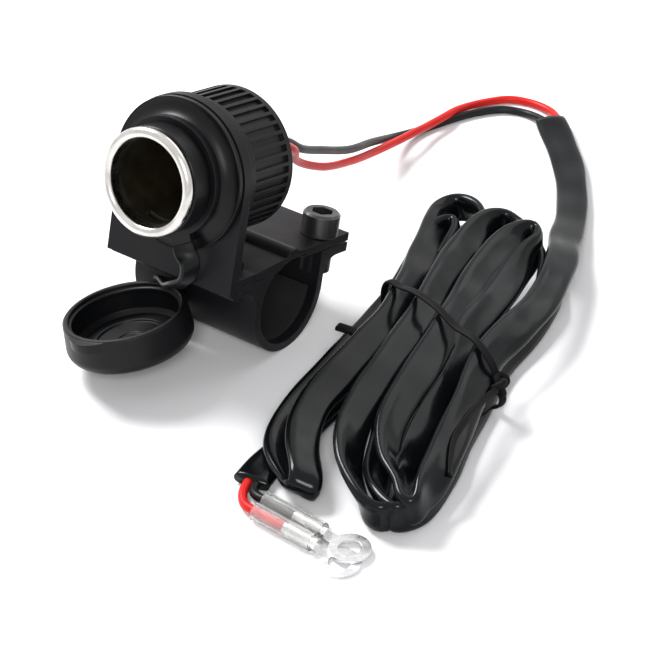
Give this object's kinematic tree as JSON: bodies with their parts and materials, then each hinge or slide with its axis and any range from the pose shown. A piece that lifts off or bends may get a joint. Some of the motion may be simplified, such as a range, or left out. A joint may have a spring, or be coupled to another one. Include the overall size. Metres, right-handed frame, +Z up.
{
  "type": "handlebar mount 12 volt power socket",
  "caption": "Round 12 V accessory socket on a two-piece bar clamp, with a tethered cap, a ribbed rear housing and a folded sleeved lead that ends in ring terminals.",
  "frame": {"origin": "on the bar clamp's axis at its mid width", "axes": "X along the bar, Z up with the clamp standing on the floor, and -Y towards the side that the socket's mouth faces; the socket leans back by 14.7 degrees"},
  "size_m": [0.1079, 0.2007, 0.0698],
  "materials": {
    "nickel": "bright nickel plate",
    "black_moulding": "semi-gloss moulded",
    "bracket_plastic": "fine matt moulded",
    "cap_rubber": "soft satin moulded",
    "seal_rubber": "matt",
    "insulator": "pressed board",
    "brass": "turned",
    "tin_plate": "tin plated",
    "screw_steel": "black zinc plate",
    "red_insulation": "soft gloss",
    "black_insulation": "soft gloss",
    "sleeve_vinyl": "glossy soft tube",
    "clear_sleeve": "clear soft plastic",
    "tie": "thin coated twist tie"
  },
  "bodies": {
    "bracket_body": {"socket_barrel": "nickel", "socket_body": "black_moulding", "bracket": "bracket_plastic", "tether_ring": "cap_rubber", "cap_strap": "cap_rubber", "sealing_washer": "seal_rubber", "wire_grommet": "seal_rubber", "insulator_disc": "insulator", "centre_contact": "brass", "centre_lug": "tin_plate", "earth_lug": "tin_plate", "red_terminal": "tin_plate", "black_terminal": "tin_plate", "red_wire": "red_insulation", "tail_red_wire": "red_insulation", "black_wire": "black_insulation", "tail_black_wire": "black_insulation", "lead_sleeve": "sleeve_vinyl", "lead_hank": "sleeve_vinyl", "tail_sleeve": "sleeve_vinyl", "red_ferrule": "clear_sleeve", "black_ferrule": "clear_sleeve", "cord_tie": "tie"},
    "cap": {"cap": "cap_rubber"},
    "rear_housing": {"rear_housing": "black_moulding"},
    "clamp_screw_right": {"clamp_screw_right": "screw_steel"},
    "clamp_screw_left": {"clamp_screw_left": "screw_steel"},
    "clamp_jaw": {"clamp_jaw": "bracket_plastic", "jaw_liner": "seal_rubber", "insert_right": "brass", "insert_left": "brass"}
  },
  "joints": [
    {"name": "cap_hinge", "type": "hinge", "parent": "bracket_body", "child": "cap", "pos_m": [0.005, -0.01946, 0.01895], "axis": [-0.9025, 0.3979, 0.1646], "range_deg": [0, 115.3], "deforming": ["cap_strap"]},
    {"name": "rear_housing_turn", "type": "hinge", "parent": "bracket_body", "child": "rear_housing", "pos_m": [0, -0.01393, 0.03715], "axis": [0, -0.9673, 0.2538], "continuous": true},
    {"name": "clamp_jaw_swing", "type": "hinge", "parent": "bracket_body", "child": "clamp_jaw", "pos_m": [0, -0.01981, 0.01274], "axis": [-1, 0, 0], "range_deg": [0, 2.5]},
    {"name": "clamp_screw_right_turn", "type": "hinge", "parent": "bracket_body", "child": "clamp_screw_right", "pos_m": [0.0146, 0.01787, 0.00823], "axis": [0, 0.2538, 0.9673], "continuous": true},
    {"name": "clamp_screw_left_turn", "type": "hinge", "parent": "bracket_body", "child": "clamp_screw_left", "pos_m": [-0.0146, 0.01787, 0.00823], "axis": [0, 0.2538, 0.9673], "continuous": true}
  ]
}
